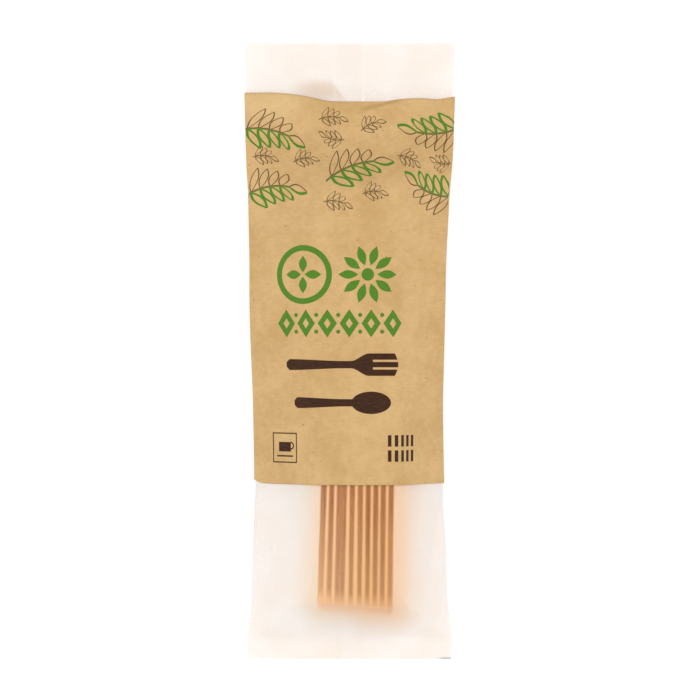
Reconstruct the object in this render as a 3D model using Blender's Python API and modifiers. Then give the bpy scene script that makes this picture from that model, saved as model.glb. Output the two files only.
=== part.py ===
"""Wooden cutlery pack: ten wooden forks in a sealed film bag with a kraft paper band round it.

The pack lies on its back. X runs across it, Y along it with the fork heads at +Y, and Z points up.
The origin is under the middle of the pack, on the surface that it lies on. Units are metres.
"""
import math

import bmesh
import bpy
from mathutils import Vector

# Bag film
BAG_LENGTH = 0.240
TOP_SEAL_WIDTH = 0.0818
BOTTOM_SEAL_WIDTH = 0.0792
WAIST_WIDTH = 0.0806
SHOULDER_WIDTH = 0.0813
TIPS_WIDTH = 0.0827
FILM_THICKNESS = 0.0001
FILM_LAP = 0.010
FILM_LAP_GAP = 0.0001
SEAL_DEPTH = 0.008
SEAL_COVER = 0.00005
SEAL_CORNER = 0.0020
TOP_SEAL_HEIGHT = 0.0026
BOTTOM_SEAL_HEIGHT = 0.0046

# Paper band
BAND_TO_BAG_TOP = 0.0194
BAND_TO_BAG_BOTTOM = 0.0685
PAPER_THICKNESS = 0.0002
PAPER_LAP = 0.014
PAPER_LAP_GAP = 0.0001
# How far the band's edges stand back from their furthest line, at places across its front from -1 to 1
UPPER_EDGE_DIPS = ((-0.72, 0.0), (-0.52, 0.0008), (-0.36, 0.0021), (-0.19, 0.0034), (0.32, 0.0036),
                   (0.50, 0.0026), (0.70, 0.0022), (0.86, 0.0026), (1.0, 0.0015))
LOWER_EDGE_DIPS = ((-1.0, 0.0016), (-0.96, 0.0006), (-0.88, 0.0))
BACK_EDGE_DIP = 0.0046

# One fork, measured from its handle end
FORK_LENGTH = 0.160
FORK_THICKNESS = 0.0015
HANDLE_WIDTH = 0.0188
NECK_WIDTH = 0.0098
HEAD_WIDTH = 0.0206
TIP_WIDTH = 0.0180
HANDLE_REACH = 0.060
NECK_PLACE = 0.106
HEAD_PLACE = 0.130
BEND_START = 0.088
BEND_LOW = 0.132
BEND_DEPTH = 0.0045
TIP_LIFT = 0.0030
TINES = 3
TINE_LENGTH = 0.030
TINE_ROUND = 0.0013
SLOT_WIDTH = 0.0015
SLOT_MOUTH = 0.0024
TIP_ROUND = 0.0024

# The stack of forks: where it lies, and the spaces between neighbours at handle ends and tips
HANDLE_TO_BAG_END = 0.0186
FIRST_HANDLE_X = -0.0116
FIRST_TIP_X = -0.0062
HANDLE_GAPS = (0.0018, 0.0018, 0.0004, 0.0019, 0.0019, 0.0015, 0.0014, 0.0013, 0.0015)
TIP_GAPS = (0.0012, 0.0008, 0.0005, 0.0007, 0.0011, 0.0015, 0.0014, 0.0015, 0.0016)
LEAN_DEGREES = (2.4, 1.6, 0.9, 0.9, 0.4, 0.0, 0.0, 0.0, 0.0, 0.0)
HANDLE_SHIFTS = (0.0034, 0.0030, 0.0030, 0.0030, 0.0022, 0.0016, 0.0010, 0.0006, 0.0002, 0.0)

# How the film lies over the stack
FIT = 0.0003
STACK_SIDE_ROOM = 0.0020
SEAM_X = 0.0
LAP_RAMP = 0.0020
SIDE_BOW = 0.0008
TOP_CORNER_ROUND = 0.0050
END_CORNER_ROUND = 0.0300
BACK_CORNER_ROUND = 0.0120
SLACK_HEIGHT = 0.0088
FLAT_HEIGHT = 0.0044
END_FOLD_HEIGHT = 0.0080
MIDDLE_FOLD_HEIGHT = 0.0026
HEAD_FOLD_HEIGHT = 0.0092
END_FOLD_ROUND = 0.0012
MIDDLE_FOLD_ROUND = 0.0026
HEAD_FOLD_ROUND = 0.0024
END_BACK_INSET = 0.0150
MIDDLE_BACK_INSET = 0.0066
HEAD_BACK_INSET = 0.0230

# Heights above the surface, from the sizes above
FILM_LAP_STEP = FILM_THICKNESS + FILM_LAP_GAP
PAPER_LAP_STEP = PAPER_THICKNESS + PAPER_LAP_GAP
BAND_BACK = PAPER_THICKNESS / 2
BAND_OVER_FILM = PAPER_THICKNESS / 2 + FIT + FILM_THICKNESS / 2
FILM_BACK = BAND_BACK + PAPER_LAP_STEP + BAND_OVER_FILM
FORK_REST = FILM_BACK + FILM_LAP_STEP + FILM_THICKNESS / 2 + FIT
STACK_TOP_ROOM = FILM_THICKNESS / 2 + 2 * FIT
SEAL_SPREAD = 2 * FILM_LAP_STEP

# Places along the pack, from the sizes above
BAG_END = BAG_LENGTH / 2
SEAL_START = BAG_END - SEAL_DEPTH
HANDLE_ROUND = HANDLE_WIDTH / 2
HANDLE_END_Y = -BAG_END + HANDLE_TO_BAG_END
HANDLE_ROUND_Y = HANDLE_END_Y + HANDLE_ROUND
TIP_Y = HANDLE_END_Y + max(HANDLE_SHIFTS) + FORK_LENGTH
BAND_LOWER_Y = -BAG_END + BAND_TO_BAG_BOTTOM
BAND_UPPER_Y = BAG_END - BAND_TO_BAG_TOP

# How a section is divided: its six rounded corners, and the five sides between them
ARC_STEPS = (1, 4, 2, 2, 4, 1)
SIDE_STEPS = (1, 2, 3, 2, 1)


def between(start, end, share):
    return start + (end - start) * share


def smooth_value(knots, place):
    """Value at a place on a smooth curve through (place, value) knots that never overshoots them."""
    if place <= knots[0][0]:
        return knots[0][1]
    if place >= knots[-1][0]:
        return knots[-1][1]
    spans = [after[0] - before[0] for before, after in zip(knots, knots[1:])]
    rises = [(after[1] - before[1]) / span for before, after, span in zip(knots, knots[1:], spans)]
    slopes = [rises[0]]
    for before, after in zip(rises, rises[1:]):
        slopes.append(2 * before * after / (before + after) if before * after > 0 else 0.0)
    slopes.append(rises[-1])
    k = max(i for i in range(len(spans)) if knots[i][0] <= place)
    t = (place - knots[k][0]) / spans[k]
    value = (2 * t ** 3 - 3 * t ** 2 + 1) * knots[k][1] + (3 * t ** 2 - 2 * t ** 3) * knots[k + 1][1]
    return value + spans[k] * ((t ** 3 - 2 * t ** 2 + t) * slopes[k] + (t ** 3 - t ** 2) * slopes[k + 1])


def fork_half_width(along):
    """Half the fork's width at a distance from its handle end."""
    if along < HANDLE_ROUND:
        return math.sqrt(max(HANDLE_ROUND ** 2 - (HANDLE_ROUND - along) ** 2, 0.0))
    half = smooth_value([(HANDLE_ROUND, HANDLE_WIDTH / 2),
                         (HANDLE_REACH, HANDLE_WIDTH / 2),
                         (NECK_PLACE, NECK_WIDTH / 2),
                         (HEAD_PLACE, HEAD_WIDTH / 2),
                         (FORK_LENGTH, TIP_WIDTH / 2)], along)
    left = FORK_LENGTH - along
    if left < TIP_ROUND:
        half -= TIP_ROUND - math.sqrt(TIP_ROUND ** 2 - (TIP_ROUND - left) ** 2)
    return half


def fork_bend(along):
    """Sideways offset of the pressed fork at a distance from its handle end."""
    return smooth_value([(0.0, 0.0),
                         (BEND_START, 0.0),
                         (BEND_LOW, -BEND_DEPTH),
                         (FORK_LENGTH, TIP_LIFT - BEND_DEPTH)], along)


def fork_pitch():
    """The forks rest on handle and head alike, so the wider head tips them by this angle."""
    return math.atan((HEAD_WIDTH - HANDLE_WIDTH) / 2 / (HEAD_PLACE - HANDLE_ROUND))


def fork_top(along):
    """Height of the forks' upper edges at a distance from their handle ends."""
    middle = FORK_REST + HANDLE_ROUND + (along - HANDLE_ROUND) * math.tan(fork_pitch())
    return middle + fork_half_width(along)


def fork_line(number):
    """The X of one fork's middle plane at its handle end and at its tips."""
    handle_x = FIRST_HANDLE_X + number * FORK_THICKNESS + sum(HANDLE_GAPS[:number])
    tip_x = FIRST_TIP_X + number * FORK_THICKNESS + sum(TIP_GAPS[:number])
    return handle_x, tip_x


def stack_edge(side, along):
    """The point (y, x) where the film turns down at the left (-1) or right (+1) fork of the stack."""
    number = 0 if side < 0 else len(LEAN_DEGREES) - 1
    handle_x, tip_x = fork_line(number)
    middle = between(handle_x, tip_x, along / FORK_LENGTH) + fork_bend(along)
    lean = fork_half_width(along) * math.sin(math.radians(LEAN_DEGREES[number]))
    turn_x = middle + side * (lean + FORK_THICKNESS / 2 + STACK_SIDE_ROOM)
    return HANDLE_END_Y + HANDLE_SHIFTS[number] + along, turn_x


def taut_film_at_handles():
    """Points (y, z) of film drawn from the bottom seal over the round handle ends."""
    centre_z = FORK_REST + HANDLE_ROUND
    radius = HANDLE_ROUND + STACK_TOP_ROOM
    seal_z = BOTTOM_SEAL_HEIGHT + SEAL_SPREAD
    run = HANDLE_ROUND_Y + SEAL_START
    rise = centre_z - seal_z
    reach = math.hypot(run, rise)
    leave = math.atan2(rise, run) + math.asin(min(radius / reach, 1.0))
    turns = [between(leave, 0.0, share) for share in (0.0, 0.45, 1.0)]
    points = [(-SEAL_START, seal_z)]
    for turn in turns:
        points.append((HANDLE_ROUND_Y - radius * math.sin(turn), centre_z + radius * math.cos(turn)))
    return points


def section_knots():
    """Each measure of the film's section, as knots along the pack from the bottom seal to the top."""
    def at(along):
        return HANDLE_END_Y + along

    bottom, top = -SEAL_START, SEAL_START
    low, high = BOTTOM_SEAL_HEIGHT, TOP_SEAL_HEIGHT
    slack_y, flat_y, lift_y = (between(TIP_Y, top, share) for share in (0.30, 0.48, 0.78))
    places = (HANDLE_ROUND, BEND_START, HEAD_PLACE, FORK_LENGTH)
    tops = [(at(along), fork_top(along) + STACK_TOP_ROOM) for along in (HANDLE_REACH, HEAD_PLACE)]
    tops.append((TIP_Y - TIP_ROUND, fork_top(FORK_LENGTH - TIP_ROUND) + STACK_TOP_ROOM))
    seal_round = 0.8 * FILM_LAP_STEP
    return {
        "back": [(bottom, low),
                 (HANDLE_ROUND_Y - STACK_TOP_ROOM, FILM_BACK),
                 (lift_y, FILM_BACK),
                 (top, high)],
        "top": taut_film_at_handles() + tops + [
            (slack_y, FILM_BACK + SLACK_HEIGHT),
            (flat_y, FILM_BACK + FLAT_HEIGHT),
            (top, high + SEAL_SPREAD)],
        "left": [(bottom, SEAL_CORNER - BOTTOM_SEAL_WIDTH / 2)]
        + [stack_edge(-1, along) for along in places]
        + [(top, SEAL_CORNER - TOP_SEAL_WIDTH / 2)],
        "right": [(bottom, BOTTOM_SEAL_WIDTH / 2 - SEAL_CORNER)]
        + [stack_edge(1, along) for along in places]
        + [(top, TOP_SEAL_WIDTH / 2 - SEAL_CORNER)],
        "fold": [(bottom, low + SEAL_SPREAD / 2),
                 (HANDLE_ROUND_Y, END_FOLD_HEIGHT),
                 (at(HANDLE_REACH), MIDDLE_FOLD_HEIGHT),
                 (at(HEAD_PLACE), HEAD_FOLD_HEIGHT),
                 (slack_y, FILM_BACK + 0.45 * SLACK_HEIGHT),
                 (flat_y, FILM_BACK + 0.45 * FLAT_HEIGHT),
                 (top, high + SEAL_SPREAD / 2)],
        "inset": [(bottom, SEAL_CORNER),
                  (HANDLE_ROUND_Y, END_BACK_INSET),
                  (at(HANDLE_REACH), MIDDLE_BACK_INSET),
                  (at(HEAD_PLACE), HEAD_BACK_INSET),
                  (slack_y, HEAD_BACK_INSET),
                  (top, SEAL_CORNER)],
        "fold_round": [(bottom, seal_round),
                       (HANDLE_ROUND_Y, END_FOLD_ROUND),
                       (at(HANDLE_REACH), MIDDLE_FOLD_ROUND),
                       (at(HEAD_PLACE), HEAD_FOLD_ROUND),
                       (slack_y, END_FOLD_ROUND),
                       (top, seal_round)],
        "top_round": [(bottom, END_CORNER_ROUND),
                      (HANDLE_ROUND_Y, TOP_CORNER_ROUND),
                      (TIP_Y, TOP_CORNER_ROUND),
                      (flat_y, END_CORNER_ROUND)],
        "drift": [(BAND_LOWER_Y - HANDLE_ROUND, 0.0),
                  (at(0.7 * FORK_LENGTH), -SIDE_BOW),
                  (slack_y, 0.0)],
        "flat_width": [(bottom, BOTTOM_SEAL_WIDTH),
                       (HANDLE_ROUND_Y, TOP_SEAL_WIDTH),
                       (BAND_LOWER_Y, WAIST_WIDTH),
                       (at(HEAD_PLACE), SHOULDER_WIDTH),
                       (TIP_Y, TIPS_WIDTH),
                       (slack_y, SHOULDER_WIDTH),
                       (top, TOP_SEAL_WIDTH)],
    }


KNOTS = section_knots()


def rounded_corners(corners, radii):
    """Arcs (centre, radius, first angle, turn) that round a closed outline, and its length."""
    arcs = []
    length = 0.0
    for i, here in enumerate(corners):
        before = here - corners[i - 1]
        after = corners[(i + 1) % len(corners)] - here
        turn = math.atan2(before.x * after.y - before.y * after.x, before.dot(after))
        room = 0.49 * min(before.length, after.length)
        radius = min(radii[i], room / math.tan(turn / 2))
        cut = radius * math.tan(turn / 2)
        way = before.normalized()
        inward = Vector((-way.y, way.x))
        arcs.append((here - way * cut + inward * radius, radius, math.atan2(-inward.y, -inward.x), turn))
        length += after.length - 2 * cut + radius * turn
    return arcs, length


def section_arcs(place, half_width):
    """The film's section at a place along the pack, with its side folds at the given half width."""
    read = {name: smooth_value(knots, place) for name, knots in KNOTS.items()}
    back_half = read["flat_width"] / 2 - read["inset"]
    corners = [Vector((back_half, read["back"])),
               Vector((half_width, read["fold"])),
               Vector((read["right"], read["top"])),
               Vector((read["left"], read["top"])),
               Vector((-half_width, read["fold"])),
               Vector((-back_half, read["back"]))]
    radii = [BACK_CORNER_ROUND, read["fold_round"], read["top_round"],
             read["top_round"], read["fold_round"], BACK_CORNER_ROUND]
    return rounded_corners(corners, radii)


def fitted_arcs(place):
    """The film does not stretch: the section is as wide as the bag's girth there lets it be."""
    flat_half = smooth_value(KNOTS["flat_width"], place) / 2
    narrow, wide = 0.6 * flat_half, 1.6 * flat_half
    for _ in range(40):
        middle = (narrow + wide) / 2
        if section_arcs(place, middle)[1] > 4 * flat_half:
            wide = middle
        else:
            narrow = middle
    return section_arcs(place, narrow)[0]


def straight_points(start, end, steps):
    """The points inside a straight side that is divided into equal steps."""
    return [(between(start[0], end[0], k / steps), between(start[1], end[1], k / steps))
            for k in range(1, steps)]


def wrap_section(place, over, back_level, lap, lap_step):
    """Points (x, z) of a sheet wrapped once round the pack, from its inner lap edge to its outer one.

    over is how far it lies outside the film, back_level the height of its back, and lap_step how far
    the inner lap edge is lifted off the outer one.
    """
    arcs = fitted_arcs(place)
    drop = smooth_value(KNOTS["back"], place) - back_level
    lap_start, lap_end = SEAM_X - lap / 2, SEAM_X + lap / 2
    points = [(lap_start, back_level + lap_step), (lap_end, back_level + lap_step),
              (lap_end + LAP_RAMP, back_level)]
    for i, (centre, radius, first, turn) in enumerate(arcs):
        reach = radius + (drop if i in (0, len(arcs) - 1) else over)
        angles = [first + turn * k / ARC_STEPS[i] for k in range(ARC_STEPS[i] + 1)]
        arc = [(centre.x + reach * math.cos(a), centre.y + reach * math.sin(a)) for a in angles]
        if i > 0:
            points += straight_points(points[-1], arc[0], SIDE_STEPS[i - 1])
        points += arc
    points += [(lap_start, back_level), (lap_end, back_level)]
    middle = (max(x for x, z in points) + min(x for x, z in points)) / 2
    drift = smooth_value(KNOTS["drift"], place)
    return [(x - middle + drift, z) for x, z in points]


def film_section(place):
    return wrap_section(place, 0.0, smooth_value(KNOTS["back"], place), FILM_LAP, FILM_LAP_STEP)


def band_section(place):
    return wrap_section(place, BAND_OVER_FILM, BAND_BACK, PAPER_LAP, PAPER_LAP_STEP)


def upper_edge(side):
    """The band's upper front edge, wavy where the film under it is creased; side runs from -1 to 1."""
    return BAND_UPPER_Y - smooth_value(UPPER_EDGE_DIPS, side)


def lower_edge(side):
    """The band's lower front edge, straight but for its left corner."""
    return BAND_LOWER_Y + smooth_value(LOWER_EDGE_DIPS, side)


def new_object(name, mesh, collection):
    piece = bpy.data.objects.new(name, mesh)
    collection.objects.link(piece)
    return piece


def sheet_mesh(name, columns, rows, place_vertex):
    """A grid of columns by rows whose vertices are placed one by one by column and row number."""
    grid = bmesh.new()
    bmesh.ops.create_grid(grid, x_segments=columns, y_segments=rows, size=1.0)
    for vertex in grid.verts:
        column = round((vertex.co.x + 1) / 2 * columns)
        row = round((vertex.co.y + 1) / 2 * rows)
        vertex.co = place_vertex(column, row)
    mesh = bpy.data.meshes.new(name)
    grid.to_mesh(mesh)
    grid.free()
    return mesh


def thicken(piece, thickness):
    wall = piece.modifiers.new("wall", "SOLIDIFY")
    wall.thickness = thickness
    wall.offset = 0.0
    wall.use_even_offset = True


def join_or_cut(piece, tool, operation):
    step = piece.modifiers.new(tool.name, "BOOLEAN")
    step.operation = operation
    step.solver = "EXACT"
    step.object = tool


def as_tool(piece):
    piece.hide_render = True
    piece.display_type = "WIRE"
    return piece


def evaluated_mesh(piece):
    bpy.context.view_layer.update()
    return bpy.data.meshes.new_from_object(piece.evaluated_get(bpy.context.evaluated_depsgraph_get()))


def seal_slab(name, end, width, height, tools):
    """The welded film across one end of the bag, which holds all its layers."""
    slab = bmesh.new()
    bmesh.ops.create_cube(slab, size=1.0)
    thickness = SEAL_SPREAD + FILM_THICKNESS + 2 * SEAL_COVER
    bmesh.ops.scale(slab, verts=slab.verts, vec=(width + 2 * SEAL_COVER, SEAL_DEPTH, thickness))
    middle = (0.0, end * (BAG_END - SEAL_DEPTH / 2), height + SEAL_SPREAD / 2)
    bmesh.ops.translate(slab, verts=slab.verts, vec=middle)
    mesh = bpy.data.meshes.new(name)
    slab.to_mesh(mesh)
    slab.free()
    return as_tool(new_object(name, mesh, tools))


def film_rows():
    """Places along the bag where its section is drawn, closer together where it changes fast."""
    tangent_y = taut_film_at_handles()[1][0]
    inside_seal = BAG_END - SEAL_DEPTH / 4
    stops = [(-SEAL_START, tangent_y, 3), (tangent_y, HANDLE_ROUND_Y, 3), (HANDLE_ROUND_Y, BAND_LOWER_Y, 2),
             (BAND_LOWER_Y, TIP_Y - TIP_ROUND, 6), (TIP_Y - TIP_ROUND, BAND_UPPER_Y, 6),
             (BAND_UPPER_Y, SEAL_START, 2)]
    rows = [-inside_seal, -SEAL_START]
    for start, end, steps in stops:
        rows += [between(start, end, k / steps) for k in range(1, steps + 1)]
    rows.append(inside_seal)
    return rows


def make_film_bag(parts, tools):
    rows = film_rows()
    sections = [film_section(place) for place in rows]

    def place_vertex(column, row):
        x, z = sections[row][column]
        return x, rows[row], z

    mesh = sheet_mesh("film_bag", len(sections[0]) - 1, len(rows) - 1, place_vertex)
    bag = new_object("film_bag", mesh, parts)
    thicken(bag, FILM_THICKNESS)
    join_or_cut(bag, seal_slab("top_seal", 1, TOP_SEAL_WIDTH, TOP_SEAL_HEIGHT, tools), "UNION")
    join_or_cut(bag, seal_slab("bottom_seal", -1, BOTTOM_SEAL_WIDTH, BOTTOM_SEAL_HEIGHT, tools), "UNION")
    return bag


def band_edge(edge_y, front_edge, back_y):
    """The place of one edge of the band at each of its columns: wavy at the front, straight behind."""
    section = band_section(edge_y)
    half = max(x for x, z in section)
    fold = smooth_value(KNOTS["fold"], edge_y)
    back_half = half - BACK_CORNER_ROUND / 2
    return [back_y if z < fold and abs(x) < back_half else front_edge(x / half) for x, z in section]


def make_kraft_band(parts):
    """The band's rows inside its edges are the film's, so that the two sheets stay parallel."""
    lower = band_edge(BAND_LOWER_Y, lower_edge, BAND_LOWER_Y)
    upper = band_edge(BAND_UPPER_Y, upper_edge, BAND_UPPER_Y - BACK_EDGE_DIP)
    inner_rows = [place for place in film_rows() if max(lower) < place < min(upper)]

    def place_vertex(column, row):
        if row == 0:
            place = lower[column]
        elif row <= len(inner_rows):
            place = inner_rows[row - 1]
        else:
            place = upper[column]
        x, z = band_section(place)[column]
        return x, place, z

    mesh = sheet_mesh("kraft_band", len(lower) - 1, len(inner_rows) + 1, place_vertex)
    band = new_object("kraft_band", mesh, parts)
    thicken(band, PAPER_THICKNESS)
    return band


def slot_outline(middle):
    """One slot between two tines, as (along, across): round at its root, flared round the tine tips."""
    root = FORK_LENGTH - TINE_LENGTH + SLOT_WIDTH / 2
    turns = [math.radians(a) for a in (-90, -45, 0, 45, 90)]
    points = [(root - SLOT_WIDTH / 2 * math.cos(a), SLOT_WIDTH / 2 * math.sin(a)) for a in turns]
    flare = [(FORK_LENGTH - TINE_ROUND * (1 - math.sin(a)), SLOT_MOUTH / 2 + TINE_ROUND * (1 - math.cos(a)))
             for a in (math.radians(angle) for angle in (0, 45, 90))]
    flare.append((FORK_LENGTH + TINE_ROUND, SLOT_MOUTH / 2 + TINE_ROUND))
    points += flare
    points += [(along, -across) for along, across in reversed(flare)]
    return [(along, middle + across) for along, across in points]


def slot_tool(number, tools):
    """The solid that cuts one slot between two tines."""
    curve = bpy.data.curves.new("slot_drawn", "CURVE")
    curve.dimensions = "2D"
    curve.fill_mode = "BOTH"
    curve.extrude = 2 * BEND_DEPTH + FORK_THICKNESS
    spacing = (TIP_WIDTH + SLOT_WIDTH) / TINES
    outline = slot_outline((number - TINES / 2) * spacing)
    spline = curve.splines.new("POLY")
    spline.points.add(len(outline) - 1)
    for point, (along, across) in zip(spline.points, outline):
        point.co = (along, across, 0.0, 1.0)
    spline.use_cyclic_u = True
    drawn = new_object("slot_drawn", curve, tools)
    mesh = evaluated_mesh(drawn)
    bpy.data.objects.remove(drawn)
    solid = bmesh.new()
    solid.from_mesh(mesh)
    bmesh.ops.remove_doubles(solid, verts=solid.verts, dist=0.000001)
    # The outline is drawn in XY. In the fork, along is Y and across is Z.
    for vertex in solid.verts:
        vertex.co = (vertex.co.z, vertex.co.x, vertex.co.y)
    bmesh.ops.recalc_face_normals(solid, faces=solid.faces)
    solid.to_mesh(mesh)
    solid.free()
    return as_tool(new_object("slot_%d" % number, mesh, tools))


def fork_rows():
    """Distances from the handle end where the fork's outline or bend needs an edge across it."""
    rows = [HANDLE_ROUND * (1 - math.cos(math.radians(a))) for a in (14, 36, 60, 90)]
    rows.append(HANDLE_REACH)
    rows += [between(HANDLE_REACH, NECK_PLACE, share) for share in (0.30, 0.55, 0.80, 1.0)]
    rows += [between(NECK_PLACE, HEAD_PLACE, share) for share in (0.25, 0.50, 0.75, 1.0)]
    rows += [between(HEAD_PLACE, FORK_LENGTH - TIP_ROUND, share) for share in (0.33, 0.66, 1.0)]
    rows += [FORK_LENGTH - TIP_ROUND * (1 - math.sin(math.radians(a))) for a in (45, 90)]
    return rows


def fork_mesh(tools):
    """One fork, flat across its width, with its handle end at the origin and its tips at +Y."""
    rows = fork_rows()

    def place_vertex(column, row):
        along = rows[row]
        across = fork_half_width(along) * (column - 1)
        if row == 0 and column == 1:
            along = 0.0
        return fork_bend(along), along, across

    blank = new_object("fork_blank", sheet_mesh("fork_blank", 2, len(rows) - 1, place_vertex), tools)
    thicken(blank, FORK_THICKNESS)
    for number in range(1, TINES):
        join_or_cut(blank, slot_tool(number, tools), "DIFFERENCE")
    mesh = evaluated_mesh(blank)
    bpy.data.objects.remove(blank)
    mesh.name = "fork"
    return mesh


def make_forks(parts, tools):
    """Ten forks on edge, side by side."""
    mesh = fork_mesh(tools)
    pitch = fork_pitch()
    end_height = FORK_REST + HANDLE_ROUND - HANDLE_ROUND * math.tan(pitch)
    forks = []
    for number, lean in enumerate(LEAN_DEGREES):
        handle_x, tip_x = fork_line(number)
        fork = new_object("fork_%02d" % (number + 1), mesh, parts)
        fork.location = (handle_x, HANDLE_END_Y + HANDLE_SHIFTS[number], end_height)
        fork.rotation_mode = "YXZ"
        fork.rotation_euler = (pitch, math.radians(lean), -math.atan2(tip_x - handle_x, FORK_LENGTH))
        forks.append(fork)
    return forks


def finish(name, colour, roughness, alpha=1.0):
    material = bpy.data.materials.new(name)
    material.use_nodes = True
    shader = material.node_tree.nodes["Principled BSDF"]
    shader.inputs["Base Color"].default_value = (*colour, 1.0)
    shader.inputs["Roughness"].default_value = roughness
    shader.inputs["Metallic"].default_value = 0.0
    shader.inputs["Alpha"].default_value = alpha
    return material


def new_collection(name):
    collection = bpy.data.collections.new(name)
    bpy.context.scene.collection.children.link(collection)
    return collection


def build():
    for old in list(bpy.data.objects):
        bpy.data.objects.remove(old)
    parts = new_collection("wooden_cutlery_pack")
    tools = new_collection("construction")
    bag = make_film_bag(parts, tools)
    bag.data.materials.append(finish("film", (0.95, 0.92, 0.88), 0.35, 0.45))
    band = make_kraft_band(parts)
    band.data.materials.append(finish("kraft_paper", (0.64, 0.42, 0.19), 0.85))
    forks = make_forks(parts, tools)
    forks[0].data.materials.append(finish("birch_wood", (0.72, 0.47, 0.25), 0.70))
    for mesh in (bag.data, band.data, forks[0].data):
        mesh.shade_smooth()
        mesh.set_sharp_from_angle(angle=math.radians(40))


build()
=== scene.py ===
"""Looks of the wooden cutlery pack: hazy film bag, printed kraft paper band and wooden forks.

Lengths here are in millimetres, and are made metres where a vertex, a lamp or the camera is placed.
X runs across the pack, Y along it with the fork heads at +Y, and Z points up.
"""
import math

import bmesh
import bpy
import numpy as np
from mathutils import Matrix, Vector


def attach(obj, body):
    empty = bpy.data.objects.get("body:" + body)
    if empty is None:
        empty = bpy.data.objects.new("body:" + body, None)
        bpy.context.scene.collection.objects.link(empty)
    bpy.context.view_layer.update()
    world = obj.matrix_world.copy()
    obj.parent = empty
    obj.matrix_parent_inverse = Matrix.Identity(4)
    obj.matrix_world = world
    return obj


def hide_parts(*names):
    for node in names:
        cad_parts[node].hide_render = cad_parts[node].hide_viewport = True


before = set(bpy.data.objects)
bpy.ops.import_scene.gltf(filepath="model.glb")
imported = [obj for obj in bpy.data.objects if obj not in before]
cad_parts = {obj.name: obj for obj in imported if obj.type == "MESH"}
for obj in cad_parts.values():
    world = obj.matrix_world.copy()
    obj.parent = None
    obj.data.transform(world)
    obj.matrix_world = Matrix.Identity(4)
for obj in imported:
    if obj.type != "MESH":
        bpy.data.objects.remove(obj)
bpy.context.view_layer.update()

MM = 0.001

# The bag's section along its length, the same as the CAD bag's: (place, value) pairs
SECTION = {
    "back": [(-112.00, 4.60), (-92.65, 0.85), (101.00, 0.85), (112.00, 2.60)],
    "top": [(-112.00, 5.00), (-99.11, 17.90), (-96.21, 19.93), (-92.00, 20.85), (-41.40, 21.23),
            (28.60, 22.65), (59.60, 21.67), (77.00, 9.65), (86.00, 5.25), (112.00, 3.00)],
    "left": [(-112.00, -37.60), (-88.60, -14.43), (-10.00, -11.65), (32.00, -14.87), (62.00, -10.73),
             (112.00, -38.90)],
    "right": [(-112.00, 37.60), (-92.00, 18.28), (-13.40, 19.36), (28.60, 15.46), (58.60, 18.85),
              (112.00, 38.90)],
    "fold": [(-112.00, 4.80), (-92.00, 8.00), (-41.40, 2.60), (28.60, 9.20), (77.00, 4.81),
             (86.00, 2.83), (112.00, 2.80)],
    "inset": [(-112.00, 2.00), (-92.00, 15.00), (-41.40, 6.60), (28.60, 23.00), (77.00, 23.00),
              (112.00, 2.00)],
    "fold_round": [(-112.00, 0.16), (-92.00, 1.20), (-41.40, 2.60), (28.60, 2.40), (77.00, 1.20),
                   (112.00, 0.16)],
    "top_round": [(-112.00, 30.00), (-92.00, 5.00), (62.00, 5.00), (86.00, 30.00)],
    "drift": [(-60.90, 0.00), (10.60, -0.80), (77.00, 0.00)],
    "flat_width": [(-112.00, 79.20), (-92.00, 81.80), (-51.50, 80.60), (28.60, 81.30), (62.00, 82.70),
                   (77.00, 81.30), (112.00, 81.80)],
}
BAG_END = 120.0
SEAL_START = 112.0
FILM_LAP = 10.0
FILM_LAP_STEP = 0.2
BACK_CORNER_ROUND = 12.0
LAP_RAMP = 2.0

BAND_LOWER_Y = -51.5
BAND_UPPER_Y = 100.6
UPPER_EDGE_DIPS = [(-0.72, 0.0), (-0.52, 0.8), (-0.36, 2.1), (-0.19, 3.4), (0.32, 3.6),
                   (0.50, 2.6), (0.70, 2.2), (0.86, 2.6), (1.0, 1.5)]
LOWER_EDGE_DIPS = [(-1.0, 1.3), (-0.96, 0.45), (-0.89, 0.0)]
BACK_EDGE_DIP = 4.6
BAND_BACK = 0.1
BAND_OVER_FILM = 0.45
PAPER_THICKNESS = 0.2
PAPER_LAP = 14.0
PAPER_LAP_STEP = 0.3

# How finely a section is divided: its rounded corners, the sides between them, and the back
ARC_STEPS = (6, 8, 6, 6, 8, 6)
SIDE_STEPS = (8, 16, 26, 16, 8)
BACK_STEPS = 10
FILM_ROW = 1.5
BAND_ROW = 1.4

SHEET_U = 200.0
SHEET_V = 240.0


def between(start, end, share):
    return start + (end - start) * share


def smooth_value(knots, place):
    """Value at a place on a smooth curve through (place, value) knots that never overshoots them."""
    if place <= knots[0][0]:
        return knots[0][1]
    if place >= knots[-1][0]:
        return knots[-1][1]
    spans = [after[0] - before[0] for before, after in zip(knots, knots[1:])]
    rises = [(after[1] - before[1]) / span for before, after, span in zip(knots, knots[1:], spans)]
    slopes = [rises[0]]
    for before, after in zip(rises, rises[1:]):
        slopes.append(2 * before * after / (before + after) if before * after > 0 else 0.0)
    slopes.append(rises[-1])
    k = max(i for i in range(len(spans)) if knots[i][0] <= place)
    t = (place - knots[k][0]) / spans[k]
    value = (2 * t ** 3 - 3 * t ** 2 + 1) * knots[k][1] + (3 * t ** 2 - 2 * t ** 3) * knots[k + 1][1]
    return value + spans[k] * ((t ** 3 - 2 * t ** 2 + t) * slopes[k] + (t ** 3 - t ** 2) * slopes[k + 1])


def bump_at(value, centre, reach):
    """A smooth bump of height 1 at the centre that has died away at reach from it."""
    share = min(abs(value - centre) / reach, 1.0)
    return (1 - share * share) ** 2


def rise(value, start, end):
    """0 before start, 1 after end, and smooth between them."""
    share = min(max((value - start) / (end - start), 0.0), 1.0)
    return share * share * (3 - 2 * share)


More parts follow.
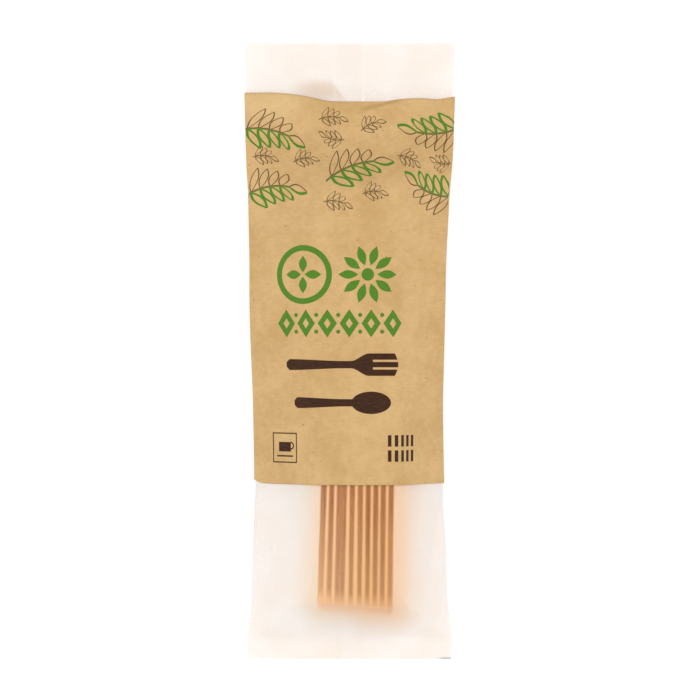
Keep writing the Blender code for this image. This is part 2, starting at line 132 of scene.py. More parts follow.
def rounded_corners(corners, radii):
    """Arcs (centre, radius, first angle, turn) that round a closed outline, and its length."""
    arcs = []
    length = 0.0
    for i, here in enumerate(corners):
        before = here - corners[i - 1]
        after = corners[(i + 1) % len(corners)] - here
        turn = math.atan2(before.x * after.y - before.y * after.x, before.dot(after))
        room = 0.49 * min(before.length, after.length)
        radius = min(radii[i], room / math.tan(turn / 2))
        cut = radius * math.tan(turn / 2)
        way = before.normalized()
        inward = Vector((-way.y, way.x))
        arcs.append((here - way * cut + inward * radius, radius, math.atan2(-inward.y, -inward.x), turn))
        length += after.length - 2 * cut + radius * turn
    return arcs, length


def section_arcs(place, half_width):
    """The film's section at a place along the pack, with its side folds at the given half width."""
    read = {name: smooth_value(knots, place) for name, knots in SECTION.items()}
    back_half = read["flat_width"] / 2 - read["inset"]
    corners = [Vector((back_half, read["back"])),
               Vector((half_width, read["fold"])),
               Vector((read["right"], read["top"])),
               Vector((read["left"], read["top"])),
               Vector((-half_width, read["fold"])),
               Vector((-back_half, read["back"]))]
    radii = [BACK_CORNER_ROUND, read["fold_round"], read["top_round"],
             read["top_round"], read["fold_round"], BACK_CORNER_ROUND]
    return rounded_corners(corners, radii)


def fitted_half_width(place):
    """The film does not stretch: the section is as wide as its fixed girth lets it be."""
    flat_half = smooth_value(SECTION["flat_width"], place) / 2
    narrow, wide = 0.6 * flat_half, 1.6 * flat_half
    for _ in range(30):
        middle = (narrow + wide) / 2
        if section_arcs(place, middle)[1] > 4 * flat_half:
            wide = middle
        else:
            narrow = middle
    return narrow


PLACES = np.linspace(-BAG_END, BAG_END, 241)
HALF_WIDTHS = np.array([fitted_half_width(place) for place in PLACES])


def divided(start, end, steps):
    """The points after start, up to and with end, that divide a straight side into equal steps."""
    return [(between(start[0], end[0], k / steps), between(start[1], end[1], k / steps))
            for k in range(1, steps + 1)]


def wrap_section(place, over, back_level, lap, lap_step):
    """Points (x, z) of a sheet wrapped once round the pack, from its outer lap edge to its inner one.

    They go to the left under the pack, and then to the right over it.
    """
    arcs = section_arcs(place, float(np.interp(place, PLACES, HALF_WIDTHS)))[0]
    drop = smooth_value(SECTION["back"], place) - back_level
    points = [(-lap / 2, back_level + lap_step)]
    points += divided(points[-1], (lap / 2, back_level + lap_step), 4)
    points += divided(points[-1], (lap / 2 + LAP_RAMP, back_level), 2)
    for i, (centre, radius, first, turn) in enumerate(arcs):
        reach = radius + (drop if i in (0, len(arcs) - 1) else over)
        angles = [first + turn * k / ARC_STEPS[i] for k in range(ARC_STEPS[i] + 1)]
        arc = [(centre.x + reach * math.cos(a), centre.y + reach * math.sin(a)) for a in angles]
        points += divided(points[-1], arc[0], BACK_STEPS if i == 0 else SIDE_STEPS[i - 1])
        points += arc[1:]
    points += divided(points[-1], (-lap / 2, back_level), BACK_STEPS)
    points += divided(points[-1], (lap / 2, back_level), 4)
    middle = (max(x for x, z in points) + min(x for x, z in points)) / 2
    drift = smooth_value(SECTION["drift"], place)
    return [(x - middle + drift, z) for x, z in reversed(points)]


def outward(points):
    """Unit directions (x, z) that point out of a section at each of its points."""
    outline = np.array(points)
    along = np.gradient(outline, axis=0)
    along /= np.linalg.norm(along, axis=1)[:, None] + 1e-9
    return np.stack([-along[:, 1], along[:, 0]], axis=1)


def across_sheet(points):
    """Distance of each point from the front's centre line, measured along the sheet."""
    outline = np.array(points)
    steps = np.linalg.norm(np.diff(outline, axis=0), axis=1)
    gone = np.concatenate([[0.0], np.cumsum(steps)])
    front = slice(outline[:, 0].argmin(), outline[:, 0].argmax() + 1)
    centre = np.interp(0.0, outline[front, 0], gone[front])
    return gone - centre


def wrapped_sheet(name, rows, section_at):
    """A sheet wrapped round the pack, with rows of (place for each column) and a map of its flat shape.

    section_at(place) gives a section's points, and how far it is pushed out at each of them.
    """
    columns = len(section_at(0.0)[0]) - 1
    placed = np.zeros((len(rows), columns + 1, 3))
    flat = np.zeros((len(rows), columns + 1, 2))
    for r, row in enumerate(rows):
        known = {}
        for c in range(columns + 1):
            place = row[c] if isinstance(row, (list, tuple)) else row
            if place not in known:
                points, push = section_at(place)
                out = outward(points)
                known[place] = (np.array(points) + out * np.array(push)[:, None], across_sheet(points))
            shape, across = known[place]
            placed[r, c] = (shape[c, 0], place, shape[c, 1])
            flat[r, c] = (across[c] / SHEET_U + 0.5, place / SHEET_V + 0.5)
    sheet = bmesh.new()
    bmesh.ops.create_grid(sheet, x_segments=columns, y_segments=len(rows) - 1, size=1.0)
    where = {}
    for vertex in sheet.verts:
        column = round((vertex.co.x + 1) / 2 * columns)
        row = round((vertex.co.y + 1) / 2 * (len(rows) - 1))
        where[vertex.index] = (row, column)
        vertex.co = placed[row, column] * MM
    sheet_map = sheet.loops.layers.uv.new("sheet")
    for face in sheet.faces:
        face.smooth = True
        for corner in face.loops:
            corner[sheet_map].uv = flat[where[corner.vert.index]]
    mesh = bpy.data.meshes.new(name)
    sheet.to_mesh(mesh)
    sheet.free()
    piece = bpy.data.objects.new(name, mesh)
    bpy.context.scene.collection.objects.link(piece)
    return piece


def film_push(place, points):
    """Soft wrinkles and one dent of the loose film, in millimetres out of the section."""
    loose = rise(place, 100.5, 104.0) * rise(-place, -117.0, -110.0)
    loose += rise(-place, 53.5, 60.0) * rise(place, -117.0, -110.0)
    pushes = []
    for x, z in points:
        wave = 0.22 * math.sin(0.31 * x + 0.09 * place) + 0.14 * math.sin(0.72 * x - 0.15 * place + 1.3)
        steep = rise(-x, 5.2, 7.4) * rise(x, -25.0, -12.0)
        dent = -1.1 * steep * bump_at(place, 102.8, 5.2) if z > 3.3 else 0.0
        over_stack = rise(x, -22.0, -16.0) * rise(-x, -27.0, -21.0) if place < 0 and z > 6.0 else 0.0
        under = 0.3 if z < 3.0 else 1.0
        pushes.append(loose * wave * under * (1 - over_stack) + dent)
    return pushes


def film_section(place):
    back = smooth_value(SECTION["back"], place)
    points = wrap_section(place, 0.0, back, FILM_LAP, FILM_LAP_STEP)
    return points, film_push(place, points)


def band_push(place, points):
    """The paper's slight buckles, which never reach in to the film."""
    pushes = []
    for x, z in points:
        near_top = rise(place, 74.0, 96.0)
        wave = 0.5 + 0.5 * math.sin(0.17 * x + 0.05 * place + 0.6)
        ripple = 0.5 + 0.5 * math.sin(0.41 * x - 0.11 * place)
        front = rise(z, 1.0, 3.0)
        pushes.append(front * (0.30 * near_top * wave + 0.06 * ripple + 0.06 * wave))
    return pushes


def band_section(place):
    points = wrap_section(place, BAND_OVER_FILM, BAND_BACK, PAPER_LAP, PAPER_LAP_STEP)
    return points, band_push(place, points)


def upper_edge(side):
    """The band's upper front edge, wavy where the film under it is creased; side runs from -1 to 1."""
    return BAND_UPPER_Y - smooth_value(UPPER_EDGE_DIPS, side)


def lower_edge(side):
    """The band's lower front edge, straight but for its left corner."""
    return BAND_LOWER_Y + smooth_value(LOWER_EDGE_DIPS, side)


def make_film():
    count = round(2 * BAG_END / FILM_ROW)
    rows = [between(-BAG_END, BAG_END, k / count) for k in range(count + 1)]
    return wrapped_sheet("hazy_film", rows, film_section)


def band_edge(edge_y, front_edge, back_y):
    """The place of one edge of the band at each of its columns: wavy at the front, straight behind."""
    section = band_section(edge_y)[0]
    half = max(x for x, z in section)
    fold = smooth_value(SECTION["fold"], edge_y)
    back_half = half - BACK_CORNER_ROUND / 2
    return [back_y if z < fold and abs(x) < back_half else front_edge(x / half) for x, z in section]


def make_band():
    lower = band_edge(BAND_LOWER_Y, lower_edge, BAND_LOWER_Y)
    upper = band_edge(BAND_UPPER_Y, upper_edge, BAND_UPPER_Y - BACK_EDGE_DIP)
    low, high = max(lower) + 0.4, min(upper) - 0.4
    count = round((high - low) / BAND_ROW)
    rows = [[between(edge, low, share) for edge in lower] for share in (0.0, 0.34, 0.67)]
    rows += [between(low, high, k / count) for k in range(count + 1)]
    rows += [[between(high, edge, share) for edge in upper] for share in (0.34, 0.67, 1.0)]
    band = wrapped_sheet("kraft_paper_band", rows, band_section)
    wall = band.modifiers.new("wall", "SOLIDIFY")
    wall.thickness = PAPER_THICKNESS * MM
    wall.offset = 0.0
    return band


class Field:
    """A number that changes over a surface: one output socket of a finish's nodes."""

    def __init__(self, finish, socket):
        self.finish = finish
        self.socket = socket

    def math(self, operation, *others):
        return self.finish.math(operation, self, *others)

    def __add__(self, other):
        return self.math("ADD", other)

    __radd__ = __add__

    def __sub__(self, other):
        return self.math("SUBTRACT", other)

    def __rsub__(self, other):
        return self.finish.math("SUBTRACT", other, self)

    def __mul__(self, other):
        return self.math("MULTIPLY", other)

    __rmul__ = __mul__

    def __truediv__(self, other):
        return self.math("DIVIDE", other)

    def __rtruediv__(self, other):
        return self.finish.math("DIVIDE", other, self)

    def __neg__(self):
        return self.math("MULTIPLY", -1.0)

    def __abs__(self):
        return self.math("ABSOLUTE")

    def least(self, other):
        return self.math("MINIMUM", other)

    def most(self, other):
        return self.math("MAXIMUM", other)

    def rise(self, start, end):
        """0 before start, 1 after end, and smooth between them; start may be the larger."""
        return self.finish.number("ShaderNodeMapRange", {"interpolation_type": "SMOOTHSTEP"},
                                  {0: self, 1: start, 2: end})


class Finish:
    """A material and its nodes."""

    def __init__(self, name):
        self.material = bpy.data.materials.new(name)
        self.material.use_nodes = True
        self.tree = self.material.node_tree
        self.shader = self.tree.nodes["Principled BSDF"]

    def feed(self, socket, value):
        if isinstance(value, Field):
            self.tree.links.new(value.socket, socket)
        elif isinstance(value, tuple) and len(value) == 3 and socket.type == "RGBA":
            socket.default_value = (*value, 1.0)
        else:
            socket.default_value = value

    def node(self, kind, settings, feeds):
        """A new node: its settings first, then the values or fields that feed its sockets."""
        node = self.tree.nodes.new(kind)
        for name, value in settings.items():
            setattr(node, name, value)
        for name, value in feeds.items():
            self.feed(node.inputs[name], value)
        return node

    def number(self, kind, settings, feeds, output=0):
        return Field(self, self.node(kind, settings, feeds).outputs[output])

    def math(self, operation, *values):
        return self.number("ShaderNodeMath", {"operation": operation}, dict(enumerate(values)))

    def vector(self, operation, *values):
        return self.number("ShaderNodeVectorMath", {"operation": operation}, dict(enumerate(values)))

    def colour(self, share, first, second):
        """The first colour where share is 0 and the second where it is 1."""
        return self.number("ShaderNodeMix", {"data_type": "RGBA"}, {0: share, 6: first, 7: second}, 2)

    def parts(self, field):
        split = self.node("ShaderNodeSeparateXYZ", {}, {0: field})
        return tuple(Field(self, socket) for socket in split.outputs)

    def place(self):
        """Where a point of the piece is, in millimetres, as a vector field."""
        source = self.number("ShaderNodeTexCoord", {}, {}, "Object")
        return self.vector("MULTIPLY", source, (1 / MM, 1 / MM, 1 / MM))

    def flat_place(self):
        """Where a point is on the sheet laid flat, in millimetres from the middle of its front."""
        source = self.number("ShaderNodeUVMap", {"uv_map": "sheet"}, {})
        return self.vector("MULTIPLY_ADD", source, (SHEET_U, SHEET_V, 0.0),
                           (-SHEET_U / 2, -SHEET_V / 2, 0.0))

    def noise(self, at, size, detail=2.0, stretch=(1.0, 1.0, 1.0), seed=0.0):
        """Smooth noise around 0.5, with features of a size in millimetres."""
        scale = tuple(s / size for s in stretch)
        moved = self.vector("MULTIPLY_ADD", at, scale, (seed, seed * 1.7, seed * 0.6))
        return self.number("ShaderNodeTexNoise", {}, {"Vector": moved, "Scale": 1.0, "Detail": detail})

    def set(self, **sockets):
        for name, value in sockets.items():
            self.feed(self.shader.inputs[name.replace("_", " ").title()], value)

    def bumps(self, height, distance, strength=1.0):
        """Bumps whose height field runs from 0 to 1 over a distance in millimetres."""
        source = self.number("ShaderNodeBump", {}, {"Height": height, "Distance": distance * MM,
                                                    "Strength": strength})
        self.feed(self.shader.inputs["Normal"], source)


def srgb(red, green, blue):
    """A colour as a picture gives it, 0 to 255, made the linear one that a shader takes."""
    shares = [value / 255 for value in (red, green, blue)]
    return tuple(s / 12.92 if s <= 0.04045 else ((s + 0.055) / 1.055) ** 2.4 for s in shares)


INK_EDGE = 0.10


def inside(distance):
    """1 where a signed distance from an outline is negative, with a soft printed edge."""
    return distance.rise(INK_EDGE, -INK_EDGE)


def box_distance(u, v, half_u, half_v):
    """Distance outside a rectangle round the origin; near its corners a little short of the true one."""
    return (abs(u) - half_u).most(abs(v) - half_v)


def round_distance(finish, u, v, radius):
    """Distance outside a circle round the origin."""
    return finish.math("SQRT", u * u + v * v) - radius


def wrapped(field, pitch):
    """The field folded into steps of pitch, from minus half of it to plus half."""
    return field.finish.math("WRAP", field, pitch / 2, -pitch / 2)


def turned(u, v, at, degrees):
    """Coordinates along and across a direction, from a point."""
    c, s = math.cos(math.radians(degrees)), math.sin(math.radians(degrees))
    along = (u - at[0]) * c + (v - at[1]) * s
    across = (v - at[1]) * c - (u - at[0]) * s
    return along, across


def leaf_outline(finish, along, across, length, half, line):
    """Distance from the drawn outline of a pointed oval that starts at the origin."""
    share = along / length
    curve = finish.math("SINE", share.least(1.0).most(0.0) * math.pi) * half
    edge = abs(abs(across) - curve) - line
    return edge.most(-along).most(along - length)


def sprig(finish, u, v, at, degrees, length, pairs, leaf, half, thick, thin):
    """A drawn stem with pairs of pointed ovals; thick on one side of the stem and thin on the other."""
    along, straight = turned(u, v, at, degrees)
    across = straight - along * (length - along) * (0.35 / length)
    pitch = length / (pairs + 0.4)
    out = abs(across)
    below = across.rise(0.15, -0.15)
    line = thin + below * (thick - thin)
    slanted = along - out * 0.75 - pitch * 0.1
    cell = finish.math("FLOOR", slanted / pitch)
    beside = slanted - (cell + 0.5) * pitch
    size = 1.0 - cell * (0.45 / pairs)
    ovals = leaf_outline(finish, out / size, beside, leaf, half, line)
    ovals = ovals.most(-slanted).most(slanted - pitch * pairs)
    stem = (out - (thick + thin) / 2).most(-along).most(along - length)
    tip = leaf_outline(finish, along - length, across, leaf * 0.9, half * 0.9, line)
    drawn = inside(ovals.least(stem).least(tip))
    return drawn, below


SPRIGS_LARGE = [
    ((-42.5, 86.0), -8.0, 19.0, 4),
    ((-43.5, 60.0), 9.0, 19.5, 4),
    ((-9.0, 65.0), 24.0, 20.0, 4),
    ((44.0, 87.5), 188.0, 18.0, 4),
    ((45.0, 60.0), 168.0, 18.0, 4),
]
SPRIGS_SMALL = [
    ((-12.0, 90.0), 5.0, 8.0, 3),
    ((4.5, 85.5), 30.0, 7.0, 3),
    ((-2.0, 82.0), 172.0, 7.0, 3),
    ((-38.0, 75.2), 0.0, 7.0, 3),
    ((-22.0, 73.0), 12.0, 7.0, 3),
    ((-10.0, 57.0), -4.0, 8.0, 3),
    ((5.0, 60.0), 8.0, 6.5, 3),
    ((40.5, 72.8), 178.0, 6.0, 3),
    ((18.5, 75.5), -18.0, 7.0, 3),
]
SPRIG_REPEAT = 84.0


def rosette_distance(finish, u, v, petals, start, end, half):
    """Distance outside a ring of pointed petals that reach from one radius to another."""
    turn = wrapped(finish.math("ARCTAN2", v, u), 2 * math.pi / petals)
    radius = round_distance(finish, u, v, 0.0)
    along = radius * finish.math("COSINE", turn) - start
    across = radius * finish.math("SINE", turn)
    share = (along / (end - start)).least(1.0).most(0.0)
    swell = finish.math("SINE", share * math.pi) * half
    return (abs(across) - swell).most(-along).most(along - (end - start))


def print_sprigs(finish, u, v):
    """The green and the brown parts of the drawn sprigs, which go on round the pack."""
    round_u = wrapped(u, SPRIG_REPEAT)
    green = None
    brown = None
    for at, degrees, length, pairs in SPRIGS_LARGE:
        drawn, below = sprig(finish, round_u, v, at, degrees, length, pairs, 8.0, 1.85, 0.56, 0.26)
        green_part, brown_part = drawn * below, drawn * (1 - below) * 0.85
        green = green_part if green is None else green.most(green_part)
        brown = brown_part if brown is None else brown.most(brown_part)
    for at, degrees, length, pairs in SPRIGS_SMALL:
        drawn, _ = sprig(finish, round_u, v, at, degrees, length, pairs, 3.8, 0.95, 0.24, 0.18)
        brown = brown.most(drawn * 0.78)
    return green, brown

def badges(finish, u, v):
    """Distance outside two round badges, one a ring round four petals and one a rosette."""
    left_u, right_u, badge_v = u + 18.0, u - 7.0, v - 29.2
    ring = abs(round_distance(finish, left_u, badge_v, 10.2)) - 1.1
    clover = rosette_distance(finish, left_u, badge_v, 4, 0.8, 7.2, 1.7)
    flower = rosette_distance(finish, right_u, badge_v, 10, 3.6, 11.3, 1.65)
    button = round_distance(finish, right_u, badge_v, 2.4)
    return ring.least(clover).least(flower).least(button)

def lozenge_row(finish, u, v):
    """Distance outside a row of six hollow lozenges with dots between them."""
    row_u, row_v = u + 4.3, v - 10.5
    diamond = abs(wrapped(row_u + 4.2, 8.4)) / 3.7 + abs(row_v) / 5.4
    lozenges = ((diamond - 1.0) * 2.8).most((0.36 - diamond) * 2.8).most(abs(row_u) - 25.1)
    dots = round_distance(finish, wrapped(row_u, 8.4), abs(row_v) - 3.2, 0.8).most(abs(row_u) - 20.0)
    return lozenges.least(dots)

def lying_fork(u, v):
    """Distance outside a fork that lies across the pack, with its tines to the right."""
    along, across = u + 3.5, v + 5.3
    half = 2.1 - along.rise(-20.0, 2.0) * 0.7 + along.rise(4.0, 11.0) * 2.9
    half = half * along.rise(-23.4, -20.6) * along.rise(22.9, 20.6)
    slots = (abs(abs(across) - 1.45) - 0.42).most(12.5 - along)
    return (abs(across) - half).most(-slots).most(abs(along) - 22.2)

def lying_spoon(finish, u, v):
    """Distance outside a spoon that lies across the pack, with its bowl to the right."""
    along, across = u + 3.3, v + 19.9
    bowl = round_distance(finish, (along - 11.6) / 7.6, across / 4.3, 1.0) * 4.6
    half = (2.1 - along.rise(-18.0, 2.0) * 0.7) * along.rise(-20.4, -17.6)
    stem = (abs(across) - half).most(abs(along) - 19.2).most(along - 8.0)
    return bowl.least(stem)

def tally_bars(u, v):
    """Distance outside two rows of five upright bars."""
    along, across = u - 20.6, v + 37.4
    bars = box_distance(wrapped(along, 2.6), abs(across) - 2.9, 0.68, 2.2)
    return bars.most(abs(along) - 6.4)

def boxed_cup(finish, u, v):
    """Distance outside a cup and saucer in a square frame."""
    across, up = u + 27.6, v + 37.4
    border = abs(box_distance(across, up, 5.6, 5.6)) - 0.24
    cup = box_distance(across, up - 0.4, 2.9, 1.9).most(up - 2.2)
    handle = abs(round_distance(finish, across - 2.9, up - 0.8, 1.25)) - 0.28
    saucer = box_distance(across, up + 3.2, 3.9, 0.3)
    return border.least(cup).least(handle).least(saucer)

def print_masks(finish, u, v):
    """Where the green and the brown ink lie on the paper."""
    green, brown = print_sprigs(finish, u, v)
    for shape in (badges(finish, u, v), lozenge_row(finish, u, v)):
        green = green.most(inside(shape))
    for shape in (lying_fork(u, v), lying_spoon(finish, u, v), tally_bars(u, v), boxed_cup(finish, u, v)):
        brown = brown.most(inside(shape))
    return green, brown

KRAFT_TONES = (srgb(203, 164, 108), srgb(220, 182, 127))
# Lighter paper for the painted light at the band's upper left
KRAFT_PAINTED_LIGHT = srgb(232, 198, 146)
# Darker paper for the painted crease shade
KRAFT_CREASE_SHADE = srgb(176, 136, 78)
KRAFT_SPECK = srgb(150, 108, 64)
GREEN_INK = srgb(80, 131, 32)
BROWN_INK = srgb(58, 28, 6)
# Where the painted crease shade starts, and its slant in degrees
CREASE_SHADE_START = (4.7, 93.8)
CREASE_SHADE_SLANT = 14.0

def kraft_finish():
    """Brown kraft paper with painted light at its upper left and a painted crease shade at its upper
    right, with its print.
    """
    paper = Finish("kraft_paper")
    flat = paper.flat_place()
    u, v, _ = paper.parts(flat)
    clouds = paper.noise(flat, 16.0, 3.0, seed=3.1)
    mottle = paper.noise(flat, 2.6, 3.0, seed=7.7)
    fibres = paper.noise(flat, 0.9, 3.0, stretch=(0.35, 1.6, 1.0), seed=11.3)
    specks = paper.noise(flat, 1.5, 1.0, seed=17.9).rise(0.735, 0.80)
    tone = clouds * 0.45 + mottle * 0.30 + fibres * 0.25
    bare = paper.colour(tone.rise(0.34, 0.66), *KRAFT_TONES)
    # Painted light: the paper is made lighter at its upper left, where more light falls
    painted_light_upper_left = u.rise(-12.0, -24.0) * v.rise(86.0, 95.0)
    bare = paper.colour(painted_light_upper_left * 0.5, bare, KRAFT_PAINTED_LIGHT)
    # Painted shade of a crease at the upper right; the band's shape has no crease there
    along, across = turned(u, v, CREASE_SHADE_START, CREASE_SHADE_SLANT)
    crease_shade = (abs(across) / (1.9 - along * 0.09)).rise(1.0, 0.0)
    crease_shade = crease_shade * along.rise(-2.5, 2.0) * along.rise(16.5, 12.0)
    bare = paper.colour(crease_shade * 0.5, bare, KRAFT_CREASE_SHADE)
    bare = paper.colour(specks * 0.55, bare, KRAFT_SPECK)
    green, brown = print_masks(paper, u, v)
    patchy = 0.94 + fibres * 0.10
    inked = paper.colour(brown * patchy, bare, BROWN_INK)
    inked = paper.colour(green * patchy, inked, GREEN_INK)
    paper.set(base_color=inked, roughness=0.78 + fibres * 0.12 - green.most(brown) * 0.14)
    paper.shader.inputs["Specular IOR Level"].default_value = 0.25
    paper.bumps(fibres * 0.5 + mottle * 0.5, 0.05)
    return paper.material

# A handle's upper edge is read below HANDLE_TOP, within EDGE_DEPTH of the handle's highest point
HANDLE_TOP = -30.0
EDGE_DEPTH = 2.0
# Distances from a fork's middle: where the clear film ends, where the haze is full, and how far it blurs
CLEAR_HALF = 0.48
EDGE_HALF = 0.74
BLUR_HALF = 1.42
# How far the painted glow reaches out from the stack, in millimetres
GLOW_REACH = 9.5
# Where the handles' soft ends lie at ENDS_X, and how much further up they are for each millimetre left
ENDS_X = 15.4
ENDS_Y = -100.2
ENDS_SLANT = 0.09

def handle_lines():
    """For each fork, the line (offset, slope) that its handle's upper edge follows, in millimetres."""
    lines = []
    for name in sorted(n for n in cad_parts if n.startswith("fork_")):
        points = np.array([v.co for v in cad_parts[name].data.vertices]) / MM
        handle = points[points[:, 1] < HANDLE_TOP]
        upper = handle[handle[:, 2] > handle[:, 2].max() - EDGE_DEPTH]
        slope, offset = np.polyfit(upper[:, 1], upper[:, 0], 1)
        lines.append((float(offset), float(slope)))
    return lines


def fork_masks(film, at, x, y):
    """How the forks show through the film below the band, and where painted glow lies round them: fields
    by name, each from 0 to 1.
    """
    lines = handle_lines()
    from_fork = None
    for offset, slope in lines:
        from_line = abs(x - (y * slope + offset))
        from_fork = from_line if from_fork is None else from_fork.least(from_line)
    # The third and fourth forks lie together, so no light comes up between them
    joint = abs(x - (y * (lines[2][1] + lines[3][1]) / 2 + (lines[2][0] + lines[3][0]) / 2))
    left_of_stack = y * lines[0][1] + lines[0][0] - x
    right_of_stack = x - (y * lines[-1][1] + lines[-1][0])
    beside = (left_of_stack * 0.80).most(right_of_stack * 0.58).most(0.0)
    above_ends = y - ENDS_Y - (ENDS_X - x) * ENDS_SLANT
    below = (above_ends - 1.4).least(0.0) * 0.65
    away = film.math("SQRT", beside * beside + below * below)
    along = above_ends.rise(-0.2, 2.8) * y.rise(-46.0, -50.0)
    wander = film.noise(at, 7.0, 2.0, stretch=(1.0, 0.3, 1.0), seed=9.4) - 0.5
    veil = 0.05 + y.rise(-50.0, -100.0) * 0.40 + above_ends.rise(8.0, 0.5) * 0.45
    return {
        # glow, between and ends mark where painted glow lies: round the stack, in the gaps between the
        # forks, and past the handles' ends
        "glow": away.rise(GLOW_REACH, 0.0) * y.rise(-38.0, -44.0),
        "between": away.rise(0.9, 0.2) * along,
        "touching": along * from_fork.rise(EDGE_HALF, CLEAR_HALF),
        "blurred": along * (from_fork + wander * 0.6).rise(BLUR_HALF, 0.62).most(joint.rise(0.80, 0.45)),
        "veil": (veil + x.rise(-5.0, -11.0) * y.rise(-52.0, -82.0) * 0.20).least(1.0),
        "ends": abs(above_ends - 0.6).rise(4.5, 0.5) * (1 - beside.rise(0.0, 1.2)),
    }

def film_finish():
    """Hazy film: clear where it lies on the forks, with painted glow round them and in the gaps between
    them, painted shade in a dent and at a seal corner, and thinner at its folds and lap.
    """
    film = Finish("hazy_film")
    at = film.place()
    x, y, _ = film.parts(at)
    u, _, _ = film.parts(film.flat_place())
    forks = fork_masks(film, at, x, y)
    cloud = film.noise(at, 13.0, 3.0, seed=2.3)
    fine = film.noise(at, 2.1, 2.0, seed=5.9)

    haze = film.colour(cloud.rise(0.35, 0.65), srgb(255, 243, 229), srgb(255, 234, 213))
    # Painted glow of light thrown up from the kraft band onto the film just above its upper edge
    painted_band_glow = y.rise(104.5, 98.0) * y.rise(80.0, 90.0)
    haze = film.colour(painted_band_glow * 0.5, haze, srgb(255, 214, 180))
    # Painted glow of light bounced from the wood: round the stack, and brightest in the gaps between the
    # forks
    painted_glow = film.colour(x.rise(-14.0, 12.0), srgb(255, 227, 192), srgb(255, 212, 167))
    painted_gap_glow = film.colour(x.rise(-8.0, 8.0), srgb(248, 195, 145), srgb(244, 186, 124))
    colour = film.colour(forks["glow"], haze, film.colour(forks["between"], painted_glow, painted_gap_glow))
    # Painted glow past the handles' ends
    colour = film.colour(forks["ends"] * 0.75, colour, srgb(246, 192, 148))
    blurred_wood = film.colour(forks["veil"], srgb(176, 113, 68), srgb(240, 182, 124))
    colour = film.colour(forks["blurred"] * (1 - forks["touching"]), colour, blurred_wood)

    # Painted shade in the soft dent beside the fork heads, and a painted shadow line at the lower seal's
    # corner
    dent_shade_edge = x + (y - 105.7) * 0.7 + 7.0
    dent = x.rise(-27.0, -12.0) * dent_shade_edge.rise(1.2, -1.0) * y.rise(107.4, 102.6) * y.rise(96.0, 101.0)
    colour = film.colour(dent * 0.75, colour, srgb(236, 210, 182))
    corner = x.rise(33.5, 37.0) * y.rise(-119.1, -119.5)
    colour = film.colour(corner, colour, srgb(200, 200, 192))

    fold = abs(abs(u) - 40.4).rise(1.8, 0.2)
    lapped = abs(u).rise(74.6, 76.6)
    alpha = 0.29 + forks["glow"] * 0.42 + forks["between"] * 0.30 + forks["ends"] * 0.15
    # The painted dent shade and corner shadow also make the film more opaque there
    alpha = alpha + dent * 0.30 + corner * 0.5 + (cloud - 0.5) * 0.12
    alpha = alpha * (1 - fold * 0.35) * (1 - lapped * 0.45)
    alpha = alpha.least(1.0) * (1 - forks["touching"]) + forks["touching"] * forks["veil"]
    film.set(base_color=colour, roughness=0.42 + fine * 0.08, alpha=alpha)
    film.bumps(fine, 0.01)
    return film.material

def wood_finish():
    """Unvarnished birch, with its grain and darker pores along the forks."""
    wood = Finish("birch_wood")
    at = wood.place()
    grain = wood.noise(at, 0.55, 4.0, stretch=(1.0, 0.05, 1.0), seed=4.2)
    bands = wood.noise(at, 4.0, 2.0, stretch=(1.0, 0.08, 1.0), seed=8.8)
    pores = wood.noise(at, 0.35, 1.0, stretch=(1.0, 0.12, 1.0), seed=1.6).rise(0.62, 0.75)
    tone = grain * 0.55 + bands * 0.45
    colour = wood.colour(tone.rise(0.32, 0.68), srgb(184, 110, 60), srgb(225, 154, 94))
    colour = wood.colour(pores * 0.35, colour, srgb(110, 62, 32))
    wood.set(base_color=colour, roughness=0.62 + grain * 0.16)
    wood.bumps(grain, 0.06)
    return wood.material


def dress(piece, material, node=None):
    """Give a piece its finish; where it stands for a CAD node, hang it on the root body and hide that
    node.
    """
    piece.data.materials.clear()
    piece.data.materials.append(material)
    if node:
        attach(piece, "root")
        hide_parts(node)


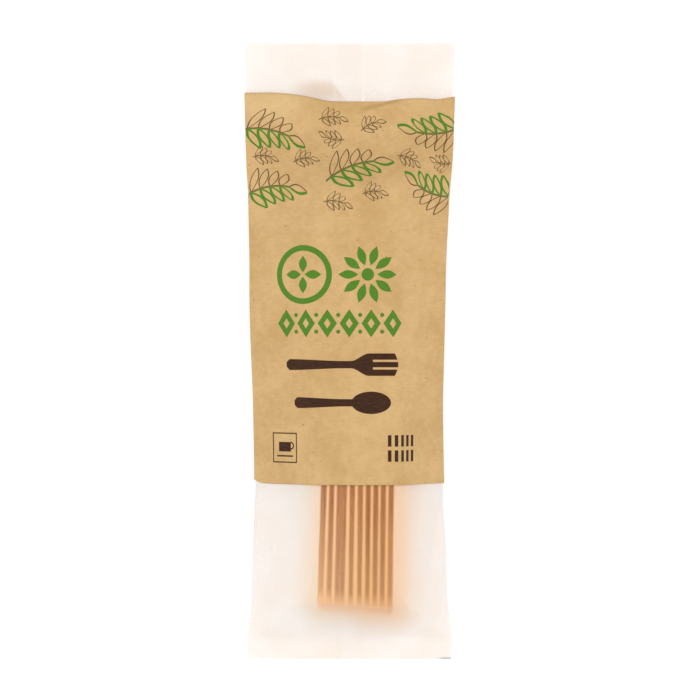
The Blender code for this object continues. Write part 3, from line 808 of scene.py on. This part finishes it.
def make_floor():
    mesh = bpy.data.meshes.new("floor")
    plane = bmesh.new()
    bmesh.ops.create_grid(plane, x_segments=4, y_segments=4, size=3.0)
    plane.to_mesh(mesh)
    plane.free()
    floor = bpy.data.objects.new("floor", mesh)
    bpy.context.scene.collection.objects.link(floor)
    ground = Finish("floor")
    seen = ground.node("ShaderNodeLightPath", {}, {})
    direct = Field(ground, seen.outputs["Is Camera Ray"])
    mirrored = Field(ground, seen.outputs["Is Glossy Ray"])
    through = Field(ground, seen.outputs["Is Transmission Ray"])
    shown = direct.most(mirrored).most(through)
    ground.set(base_color=ground.colour(shown, (0.85, 0.85, 0.85), (0.16, 0.16, 0.16)), roughness=0.9,
               emission_color=ground.colour(shown, (0.0, 0.0, 0.0), (0.88, 0.88, 0.88)),
               emission_strength=1.0)
    dress(floor, ground.material)


def make_lamp(name, at, watts, width, height):
    lamp = bpy.data.lights.new(name, "AREA")
    lamp.shape = "RECTANGLE"
    lamp.size = width
    lamp.size_y = height
    lamp.energy = watts
    holder = bpy.data.objects.new(name, lamp)
    holder.location = at
    holder.rotation_euler = (-Vector(at)).to_track_quat("-Z", "Y").to_euler()
    bpy.context.scene.collection.objects.link(holder)


def make_light():
    world = bpy.data.worlds.new("studio")
    world.use_nodes = True
    background = world.node_tree.nodes["Background"]
    background.inputs["Color"].default_value = (1.0, 1.0, 1.0, 1.0)
    background.inputs["Strength"].default_value = 0.57
    bpy.context.scene.world = world
    make_lamp("left_softbox", (-0.85, 0.05, 0.62), 3.9, 0.7, 1.0)
    make_lamp("right_softbox", (0.85, 0.05, 0.62), 3.9, 0.7, 1.0)
    make_lamp("top_softbox", (0.0, 0.55, 1.0), 1.2, 0.8, 0.6)
    make_lamp("front_softbox", (0.0, -0.80, 0.70), 0.9, 0.8, 0.6)


def make_camera():
    lens = bpy.data.cameras.new("camera")
    lens.lens = 135.0
    lens.sensor_width = 36.0
    lens.clip_start = 0.01
    camera = bpy.data.objects.new("camera", lens)
    camera.location = (0.0002, 0.0003, 0.273 * lens.lens / lens.sensor_width + 0.003)
    bpy.context.scene.collection.objects.link(camera)
    bpy.context.scene.camera = camera


dress(make_film(), film_finish(), "film_bag")
dress(make_band(), kraft_finish(), "kraft_band")
wood_material = wood_finish()
for name in sorted(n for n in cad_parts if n.startswith("fork_")):
    dress(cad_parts[name], wood_material)
make_floor()
make_light()
make_camera()
bpy.context.scene.view_settings.view_transform = "Standard"
